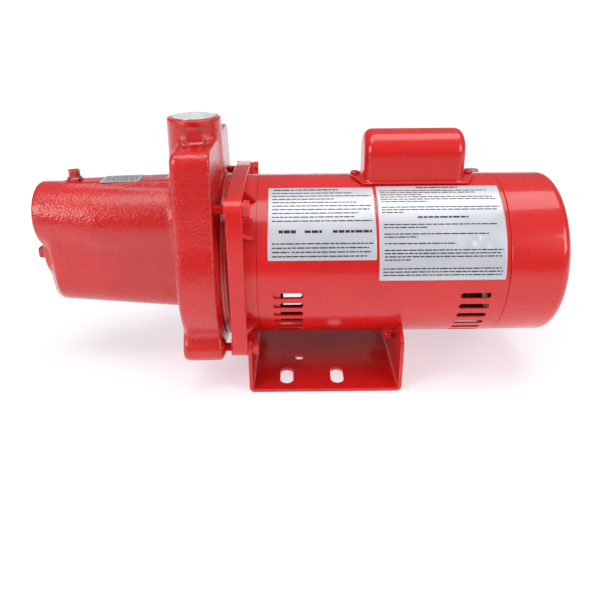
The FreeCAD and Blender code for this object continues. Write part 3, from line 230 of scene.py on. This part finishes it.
def foil():
    """Satin silver label stock, a little uneven where it was smoothed down."""
    s = Shader("label_foil")
    tone = s.ramp(s.noise(26.0), 0.3, 0.7, (0.56, 0.58, 0.62), (0.63, 0.65, 0.69))
    s.link(tone, s.main.inputs["Base Color"])
    s.surface((0.30, 0.42), metallic=0.25)
    s.bumps([(s.noise(45.0, 1.0), 0.0006, 0.12), (s.noise(900.0), 0.0001, 0.10)])
    return s.material


FINISHES = {
    "casing_paint": casting_paint(),
    "gloss_paint": gloss_paint(),
    "plug_iron": chipped_paint(),
    "cap_plastic": plain("cap_plastic", (0.66, 0.66, 0.65), (0.38, 0.52), coat=0.1, tint=0.03,
                         grain=500.0),
    "pump_plastic": plain("pump_plastic", (0.045, 0.045, 0.05), (0.38, 0.5), grain=600.0),
    "brass": plain("brass", (0.80, 0.55, 0.22), (0.22, 0.34), 1.0, grain=400.0, stretch=(6, 1, 1)),
    "black_rubber": plain("black_rubber", (0.02, 0.02, 0.021), (0.6, 0.8), grain=900.0),
    "ceramic": plain("ceramic", (0.80, 0.78, 0.72), (0.12, 0.2), tint=0.03, strength=0.05),
    "carbon": plain("carbon", (0.03, 0.03, 0.032), (0.25, 0.4), grain=500.0, strength=0.1),
    "steel": plain("steel", (0.56, 0.56, 0.57), (0.2, 0.34), 1.0, tint=0.06, stretch=(8, 1, 1)),
    "zinc": plain("zinc", (0.60, 0.60, 0.61), (0.28, 0.45), 1.0, tint=0.10),
    "laminations": stacked("laminations", (0.26, 0.27, 0.29), (0.4, 0.6), 0.9, 0.0016, 0.0003),
    "aluminium": plain("cast_aluminium", (0.62, 0.62, 0.63), (0.35, 0.5), 1.0, grain=450.0,
                       depth=0.0005),
    "copper": stacked("copper", (0.48, 0.17, 0.06), (0.25, 0.4), 0.8, 0.0022, 0.0006),
    "board": plain("board", (0.16, 0.055, 0.025), (0.4, 0.55), coat=0.2, grain=350.0),
    "grey_plastic": plain("grey_plastic", (0.30, 0.31, 0.32), (0.35, 0.5), coat=0.1, grain=500.0),
    "label": foil(),
}
FINISHES["screw_paint"] = FINISHES["gloss_paint"]
INK = plain("label_ink", (0.012, 0.012, 0.014), (0.45, 0.6), tint=0.2)


def dress(thing, material):
    thing.data.materials.clear()
    thing.data.materials.append(material)


def dress_nodes():
    """Every node that is carried over gets the material of its slot."""
    for entry in frame["record"]["subparts"]:
        dress(nodes[entry["node"]], FINISHES[entry["material_slot"]])


# ---------------------------------------------------------------- mesh helpers
def add(name, mesh):
    piece = bpy.data.objects.new(name, mesh)
    bpy.context.scene.collection.objects.link(piece)
    return piece


def built(name, points, faces, smooth=True):
    mesh = bpy.data.meshes.new(name)
    mesh.from_pydata([tuple(p) for p in points], [], faces)
    mesh.polygons.foreach_set("use_smooth", [smooth] * len(mesh.polygons))
    mesh.update()
    return add(name, mesh)


def baked(piece):
    """Applies the piece's modifiers."""
    graph = bpy.context.evaluated_depsgraph_get()
    mesh = bpy.data.meshes.new_from_object(piece.evaluated_get(graph))
    piece.modifiers.clear()
    piece.data = mesh


def gridded(node, name, voxel):
    """The node's shape on an even skin of quads."""
    piece = add(name, nodes[node].data.copy())
    remesh = piece.modifiers.new("grid", "REMESH")
    remesh.mode = "VOXEL"
    remesh.voxel_size = voxel
    baked(piece)
    return piece


def read_points(mesh):
    points = np.empty(len(mesh.vertices) * 3)
    mesh.vertices.foreach_get("co", points)
    return points.reshape(-1, 3)


def quad_normals(points, quads):
    """Each point's normal, from the quads round it."""
    first, second, third, fourth = (points[quads[:, corner]] for corner in range(4))
    across = np.cross(third - first, fourth - second)
    total = np.zeros_like(points)
    for axis in range(3):
        for corner in range(4):
            total[:, axis] += np.bincount(quads[:, corner], across[:, axis], len(points))
    return total / np.maximum(np.linalg.norm(total, axis=1), 1e-12)[:, None]


def faired(piece, rounds, hollow, proud, free, grain=(), sandy=None):
    """Rounds a gridded piece as casting or pressing does.

    Each round moves a point towards the middle of its neighbours, by the fraction hollow in inside
    corners and proud on outside ones, times free(points) (0 to 1). Then the skin gets the grain's
    (wavelength, height) layers of pebbling, times sandy(points). It stays inside its first box.
    """
    mesh = piece.data
    points = read_points(mesh)
    low, high = points.min(axis=0), points.max(axis=0)
    edges = np.empty(len(mesh.edges) * 2, int)
    mesh.edges.foreach_get("vertices", edges)
    first, second = edges.reshape(-1, 2).T
    quads = np.empty(len(mesh.loops), int)
    mesh.loops.foreach_get("vertex_index", quads)
    quads = quads.reshape(-1, 4)
    degree = np.maximum(np.bincount(edges, minlength=len(points)), 1)
    loose = free(points)
    for _ in range(rounds):
        move = -points
        for axis in range(3):
            total = np.bincount(first, points[second, axis], len(points))
            total += np.bincount(second, points[first, axis], len(points))
            move[:, axis] += total / degree
        outward = np.einsum("ij,ij->i", move, quad_normals(points, quads))
        weight = np.where(outward > 0, hollow, proud) * loose
        points += move * weight[:, None]
    if grain:
        pebbled = sandy(points)
        normals = quad_normals(points, quads)
        lift = np.zeros(len(points))
        for wavelength, height in grain:
            for i, point in enumerate(points / wavelength):
                lift[i] += height * noise.noise(point)
        points += normals * (lift * loose * pebbled)[:, None]
    points = np.clip(points, low, high)
    mesh.vertices.foreach_set("co", points.ravel())
    mesh.polygons.foreach_set("use_smooth", [True] * len(mesh.polygons))
    mesh.update()


def ease(value, start, end):
    """0 before start, 1 after end, and smooth between."""
    t = np.clip((value - start) / (end - start), 0.0, 1.0)
    return t * t * (3 - 2 * t)


def away_from_axis(points, centre, direction, radius, margin=4 * MM):
    """0 within radius of a line, easing to 1 at a margin beyond it."""
    offset = points - np.array(centre)
    along = np.array(direction, float)
    offset = offset - np.outer(offset @ along, along)
    return ease(np.linalg.norm(offset, axis=1), radius, radius + margin)


# ---------------------------------------------------------------- pump casing
def cast_casing():
    """The casing as a sand casting: generous inside fillets, soft edges and a pebbled skin."""
    piece = gridded("pump_casing", "cast_casing", (1.1) * MM)
    plug_depth = 20 * MM
    bolt_depth = 12 * MM

    def free(points):
        """Machined faces and the rims of holes stay nearly as they are."""
        back = CASE_HIGH.x - 1.5 * MM - points[:, 0]
        loose = 0.65 + 0.35 * ease(back, 0.0, 4 * MM)
        loose *= 0.15 + 0.85 * ease(CASE_HIGH.z - points[:, 2], 0.5 * MM, 3 * MM)
        for node, reach in (("priming_plug", 9.5), ("gauge_port_plug", 6.5), ("vent_plug", 6.5)):
            near = away_from_axis(points, middle(node), (0, 0, 1), reach * MM)
            loose *= np.where(points[:, 2] > middle(node).z - plug_depth, near, 1.0)
        near = away_from_axis(points, middle("drain_plug"), (1, 0, 0), 6.5 * MM)
        loose *= np.where(points[:, 0] < CASE_LOW.x + plug_depth, near, 1.0)
        for y in (-BOLT_OFFSET, BOLT_OFFSET):
            for z in (-BOLT_OFFSET, BOLT_OFFSET):
                near = away_from_axis(points, (0, y, SHAFT_Z + z), (1, 0, 0), 5 * MM)
                loose *= np.where(points[:, 0] > CASE_HIGH.x - bolt_depth, near, 1.0)
        return loose

    def sandy(points):
        """The turned ring on the casing's back has no pebbling."""
        return ease(CASE_HIGH.x - points[:, 0], 7 * MM, 12 * MM)

    grain = ((5.5 * MM, 0.06 * MM), (2.6 * MM, 0.035 * MM))
    faired(piece, rounds=40, hollow=0.55, proud=0.14, free=free, grain=grain, sandy=sandy)
    dress(piece, FINISHES["casing_paint"])
    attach(piece, "pump")
    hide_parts("pump_casing")


def capacitor_cover():
    """The cover as a pressing: its corners are eased all over."""
    voxel = 0.45 * MM * 1.0
    piece = gridded("capacitor_cover", "capacitor_cover_pressing", voxel)
    faired(piece, rounds=26, hollow=0.6, proud=0.10, free=lambda points: np.ones(len(points)))
    dress(piece, FINISHES["gloss_paint"])
    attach(piece, "pump")
    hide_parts("capacitor_cover")


# ---------------------------------------------------------------- discharge cap
def dust_cap():
    """A soft plastic cap: domed disc with a rolled rim, a moulded ring, a hollow plug and a tab."""
    low, high = (Vector(corner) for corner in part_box("discharge_cap"))
    x = (low.x + high.x) / 2
    seat = CASE_HIGH.z
    top = high.z
    radius = (high.x - low.x) / 2
    plug = radius - 3.0 * MM
    outline = [(0, top - 0.2 * MM), (5.4 * MM, top - 0.22 * MM), (6.0 * MM, top), (6.8 * MM, top),
               (7.4 * MM, top - 0.28 * MM), (12.5 * MM, top - 0.45 * MM),
               (radius - 2.2 * MM, top - 0.65 * MM), (radius - 1.2 * MM, top - 0.35 * MM),
               (radius - 0.4 * MM, top - 0.5 * MM), (radius, top - 0.95 * MM),
               (radius - 0.1 * MM, seat + 0.1 * MM), (radius - 0.6 * MM, seat),
               (plug + 0.2 * MM, seat), (plug, seat - 0.5 * MM), (plug, low.z + 0.4 * MM),
               (plug - 0.4 * MM, low.z), (plug - 1.0 * MM, low.z), (plug - 1.4 * MM, low.z + 0.4 * MM),
               (plug - 1.4 * MM, seat - 0.6 * MM), (0, seat - 0.6 * MM)]
    steps = 96
    points = []
    faces = []
    for r, z in outline:
        for i in range(steps):
            a = 2 * math.pi * i / steps
            points.append((x + r * math.cos(a), r * math.sin(a), z))
    for k in range(len(outline) - 1):
        for i in range(steps):
            j = (i + 1) % steps
            faces.append((k * steps + i, (k + 1) * steps + i, (k + 1) * steps + j, k * steps + j))
    piece = built("dust_cap_disc", points, faces)
    weld = piece.modifiers.new("weld", "WELD")
    weld.merge_threshold = 0.00001
    baked(piece)
    dress(piece, FINISHES["cap_plastic"])
    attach(piece, "dust_cap")
    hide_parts("discharge_cap")

    tab = rounded_bar("dust_cap_tab", Vector((x - 5.4 * MM, low.y + 0.3 * MM, seat + 0.12 * MM)),
                      Vector((x - 1.2 * MM, low.y + 4.4 * MM, seat + 0.85 * MM)), 0.3 * MM)
    dress(tab, FINISHES["cap_plastic"])
    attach(tab, "dust_cap")
    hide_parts("discharge_cap")


def rounded_bar(name, low, high, edge):
    """A small moulded bar with rounded edges."""
    points = [(x, y, z) for x in (low.x, high.x) for y in (low.y, high.y) for z in (low.z, high.z)]
    faces = [(0, 1, 3, 2), (4, 6, 7, 5), (0, 4, 5, 1), (2, 3, 7, 6), (0, 2, 6, 4), (1, 5, 7, 3)]
    piece = built(name, points, faces)
    bevel = piece.modifiers.new("bevel", "BEVEL")
    bevel.width = edge
    bevel.segments = 3
    baked(piece)
    return piece


# ---------------------------------------------------------------- labels
def on_shell(x, angle, lift):
    """A point on the shell, at an angle from the top towards the front, raised by lift."""
    r = SHELL_R + lift
    return (x, -r * math.sin(angle), SHAFT_Z + r * math.cos(angle))


def shell_label(node, name, blisters, lines):
    """A foil label on the shell, with rows of plain dashes where print would be.

    blisters are (x share, angle share, radius, height) air bubbles, and lines are
    (down share, from share, to share, height) rows, in shares of the label's size.
    """
    low, high = (Vector(corner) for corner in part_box(node))
    start = math.atan2(-high.y, high.z - SHAFT_Z)
    end = math.atan2(-low.y, low.z - SHAFT_Z)
    width = high.x - low.x
    depth = (end - start) * SHELL_R
    thickness = 0.18 * MM
    across, down = 90, 60
    corner = 1.2 * MM
    proud = 0.03 * MM                # print stands out from the foil by this much
    gap = 0.7 * MM / width           # between dashes

    def lift(u, v):
        total = thickness
        for centre_u, centre_v, radius, height in blisters:
            away = math.hypot((u - centre_u) * width, (v - centre_v) * depth)
            total += height * math.exp(-((away / radius) ** 2))
        return total

    def place(u, v, extra=0.0):
        """Pulls the sheet's corners in to a small radius, then lays it on the shell."""
        from_side = min(u, 1 - u) * width
        from_end = min(v, 1 - v) * depth
        if from_side < corner and from_end < corner:
            over = math.hypot(corner - from_side, corner - from_end) - corner
            if over > 0:
                u += math.copysign(over * 0.7 / width, 0.5 - u)
                v += math.copysign(over * 0.7 / depth, 0.5 - v)
        return on_shell(low.x + u * width, start + v * (end - start), extra)

    points = []
    for top in (True, False):
        for j in range(down + 1):
            for i in range(across + 1):
                u, v = i / across, j / down
                points.append(place(u, v, lift(u, v) if top else FLAT))
    row = across + 1
    layer = row * (down + 1)
    faces = []
    for j in range(down):
        for i in range(across):
            a = j * row + i
            faces.append((a, a + row, a + row + 1, a + 1))
            faces.append((layer + a, layer + a + 1, layer + a + row + 1, layer + a + row))
    rim = list(range(row)) + [j * row + across for j in range(1, down + 1)]
    rim += [down * row + i for i in reversed(range(across))]
    rim += [j * row for j in reversed(range(1, down))]
    for k, a in enumerate(rim):
        b = rim[(k + 1) % len(rim)]
        faces.append((a, b, layer + b, layer + a))
    sheet = built(name, points, faces)
    dress(sheet, FINISHES["label"])
    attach(sheet, "pump")
    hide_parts(node)

    chance = random.Random(name)
    points = []
    faces = []
    for v, u0, u1, tall in lines:
        u = u0
        while u < u1:
            word = min(chance.uniform(1.8, 6.5) * MM / width, u1 - u)
            half = tall / 2 / depth
            base = len(points)
            for side in (proud, -proud):
                for du, dv in ((0, -half), (word, -half), (word, half), (0, half)):
                    points.append(place(u + du, v + dv, lift(u + du, v + dv) + side))
            faces += [(base, base + 3, base + 2, base + 1), (base + 4, base + 5, base + 6, base + 7)]
            for k in range(4):
                n = (k + 1) % 4
                faces.append((base + k, base + n, base + 4 + n, base + 4 + k))
            u += word + gap
    print_rows = built(name + "_print", points, faces, smooth=False)
    dress(print_rows, INK)
    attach(print_rows, "pump")
    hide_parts(node)


def paragraph(v, count, pitch, tall, u0, ends):
    """Rows of text from the share v down, with a ragged right edge."""
    return [(v + pitch * i, u0, ends[i % len(ends)], tall) for i in range(count)]


def labels():
    left = [(0.045, 0.05, 0.66, 1.5 * MM)]
    left += paragraph(0.105, 9, 0.052, 1.0 * MM, 0.04, (0.80, 0.97, 0.62, 0.83, 0.97, 0.95, 0.84))
    left += [(0.655, 0.10, 0.26, 2.6 * MM), (0.655, 0.34, 0.50, 2.2 * MM),
             (0.655, 0.60, 0.96, 2.2 * MM)]
    left += paragraph(0.80, 4, 0.050, 1.0 * MM, 0.04, (0.97, 0.93, 0.95, 0.92))
    shell_label("left_label", "left_label_foil", [(0.2, 0.9, 4 * MM, 0.12 * MM)], left)

    right = [(0.028, 0.33, 0.67, 1.3 * MM)]
    right += paragraph(0.075, 6, 0.029, 0.95 * MM, 0.03, (0.90, 0.80, 0.36, 0.93, 0.95, 0.40))
    right += paragraph(0.285, 3, 0.029, 0.95 * MM, 0.03, (0.97, 0.95, 0.20))
    right += [(0.395, 0.31, 0.71, 1.5 * MM)]
    right += paragraph(0.468, 2, 0.029, 0.95 * MM, 0.04, (0.93, 0.38))
    right += paragraph(0.560, 2, 0.029, 0.95 * MM, 0.04, (0.86, 0.30))
    right += paragraph(0.650, 1, 0.029, 0.95 * MM, 0.04, (0.60,))
    right += paragraph(0.712, 4, 0.030, 0.95 * MM, 0.04, (0.97, 0.95, 0.96, 0.24))
    right += paragraph(0.885, 3, 0.031, 0.95 * MM, 0.03, (0.96, 0.97, 0.97))
    bubbles = [(0.72, 0.66, 3.2 * MM, 0.5 * MM), (0.77, 0.60, 2.4 * MM, 0.4 * MM),
               (0.84, 0.70, 2.6 * MM, 0.35 * MM)]
    shell_label("right_label", "right_label_foil", bubbles, right)


def snout_label():
    """The small foil plate on the snout's raised strip, following the strip's slope."""
    low, high = (Vector(corner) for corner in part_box("snout_label"))
    slope = (high.z - low.z - 0.2 * MM) / (high.x - low.x)
    base = low.z + 0.12 * MM

    def place(u, v, extra):
        x = low.x + u * (high.x - low.x)
        return (x, low.y + v * (high.y - low.y), base + slope * (x - low.x) + extra)

    def plates(name, rects, bottom, top, material):
        points = []
        faces = []
        for u0, v0, u1, v1 in rects:
            n = len(points)
            for extra in (bottom, top):
                points += [place(u, v, extra) for u, v in ((u0, v0), (u1, v0), (u1, v1), (u0, v1))]
            faces += [(n, n + 3, n + 2, n + 1), (n + 4, n + 5, n + 6, n + 7)]
            faces += [(n + k, n + (k + 1) % 4, n + 4 + (k + 1) % 4, n + 4 + k) for k in range(4)]
        piece = built(name, points, faces, smooth=False)
        dress(piece, material)
        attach(piece, "pump")
        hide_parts("snout_label")

    plates("snout_label_foil", [(0, 0, 1, 1)], -0.3 * MM, 0.08 * MM, FINISHES["label"])
    chance = random.Random("snout")
    row_pitch, row_height, word_gap = 0.11, 0.045, 0.03
    rows = []
    for i in range(8):
        v = 0.08 + row_pitch * i
        u = 0.06
        while u < 0.90:
            word = chance.uniform(0.05, 0.16)
            rows.append((u, v, min(u + word, 0.94), v + row_height))
            u += word + word_gap
    plates("snout_label_print", rows, 0.06 * MM, 0.10 * MM, INK)


# ---------------------------------------------------------------- camera, light and floor
def camera():
    """Level with the capacitor cover, looking down at the pump's side from half a metre."""
    yaw, pitch, roll = math.radians(0.3), math.radians(23.2), math.radians(-0.42)
    along = Vector((math.sin(yaw), math.cos(yaw), 0))
    forward = Vector((along.x * math.cos(pitch), along.y * math.cos(pitch), -math.sin(pitch)))
    level = Vector((math.cos(yaw), -math.sin(yaw), 0))
    above = level.cross(forward)
    right = math.cos(roll) * level + math.sin(roll) * above
    up = -math.sin(roll) * level + math.cos(roll) * above
    data = bpy.data.cameras.new("camera")
    data.sensor_width = 36.0
    data.lens = 35.34
    data.shift_y = -0.0675
    lens = bpy.data.objects.new("camera", data)
    place = Vector((0.00625, -0.499, SHAFT_Z + 0.2065))
    lens.matrix_world = Matrix.Translation(place) @ Matrix((right, up, -forward)).transposed().to_4x4()
    bpy.context.scene.collection.objects.link(lens)
    bpy.context.scene.camera = lens


def softbox(name, place, target, width, height, power):
    data = bpy.data.lights.new(name, "AREA")
    data.shape = "RECTANGLE"
    data.size = width
    data.size_y = height
    data.energy = power
    lamp = bpy.data.objects.new(name, data)
    lamp.location = place
    lamp.rotation_euler = (Vector(target) - Vector(place)).to_track_quat("-Z", "Y").to_euler()
    bpy.context.scene.collection.objects.link(lamp)


def studio():
    """A large soft box overhead, two small ones and a grey room that is brighter above."""
    centre = (0, 0, SHAFT_Z)
    softbox("overhead", (0.05, -0.12, 1.25), centre, width=1.7, height=0.6, power=10.0)
    softbox("left_front", (-1.05, -0.85, 0.70), centre, width=0.6, height=0.6, power=7.5)
    softbox("right_front", (1.05, -0.85, 0.70), centre, width=0.6, height=0.6, power=6.5)
    world = bpy.data.worlds.new("studio")
    world.use_nodes = True
    tree = world.node_tree
    back = tree.nodes["Background"]
    direction = tree.nodes.new("ShaderNodeTexCoord")
    split = tree.nodes.new("ShaderNodeSeparateXYZ")
    ramp = tree.nodes.new("ShaderNodeValToRGB")
    ramp.color_ramp.elements[0].position = 0.05
    ramp.color_ramp.elements[0].color = (*GREY_FROM, 1)
    ramp.color_ramp.elements[1].position = 1.0
    ramp.color_ramp.elements[1].color = (*GREY_TO, 1)
    tree.links.new(direction.outputs["Generated"], split.inputs["Vector"])
    tree.links.new(split.outputs["Z"], ramp.inputs["Fac"])
    tree.links.new(ramp.outputs["Color"], back.inputs["Color"])
    bpy.context.scene.world = world


def floor():
    """A white table that glows as painted light: it fades to painted shade in front and curves up a little
    far behind.
    """
    half, reach, rise = 16.0, 14.0, 1.7
    points = []
    steps = 24
    rows = [(-half, 0.0)] + [(reach + rise * math.sin(a), rise * (1 - math.cos(a)))
                             for a in (math.pi / 2 * i / steps for i in range(steps + 1))]
    for y, z in rows:
        points += [(-half, y, z), (half, y, z)]
    faces = [(2 * i, 2 * i + 1, 2 * i + 3, 2 * i + 2) for i in range(len(rows) - 1)]
    sweep = built("floor", points, faces)
    s = Shader("floor")
    split = s.node("ShaderNodeSeparateXYZ")
    s.link(s.coordinates, split.inputs["Vector"])
    # lit runs from 0.08 in front to 1 behind: painted shade on the table's colour and glow in front
    lit = s.spread(split.outputs["Y"], low=0.08, start=-1.15, end=-0.33)
    s.link(s.ramp(lit, 0.0, 1.0, TABLE_FRONT_SHADE, TABLE_WHITE), s.main.inputs["Base Color"])
    s.surface((0.55, 0.7))
    s.bumps([(s.noise(80.0), 0.0002, 0.05)])
    # painted light: the table glows, more strongly away from the middle
    away = s.node("ShaderNodeVectorMath", operation="LENGTH")
    s.link(s.coordinates, away.inputs[0])
    glow = s.spread(away.outputs["Value"], low=0.50, high=0.95, start=0.25, end=2.2)
    faded = s.node("ShaderNodeMath", operation="MULTIPLY")
    s.link(glow, faded.inputs[0])
    s.link(lit, faded.inputs[1])
    s.link(faded.outputs["Value"], s.main.inputs["Emission Strength"])
    s.main.inputs["Emission Color"].default_value = (*TABLE_GLOW, 1.0)
    dress(sweep, s.material)


# ---------------------------------------------------------------- the scene
dress_nodes()
camera()
studio()
floor()
cast_casing()
capacitor_cover()
dust_cap()
labels()
snout_label()

bpy.context.scene.view_settings.view_transform = "Standard"
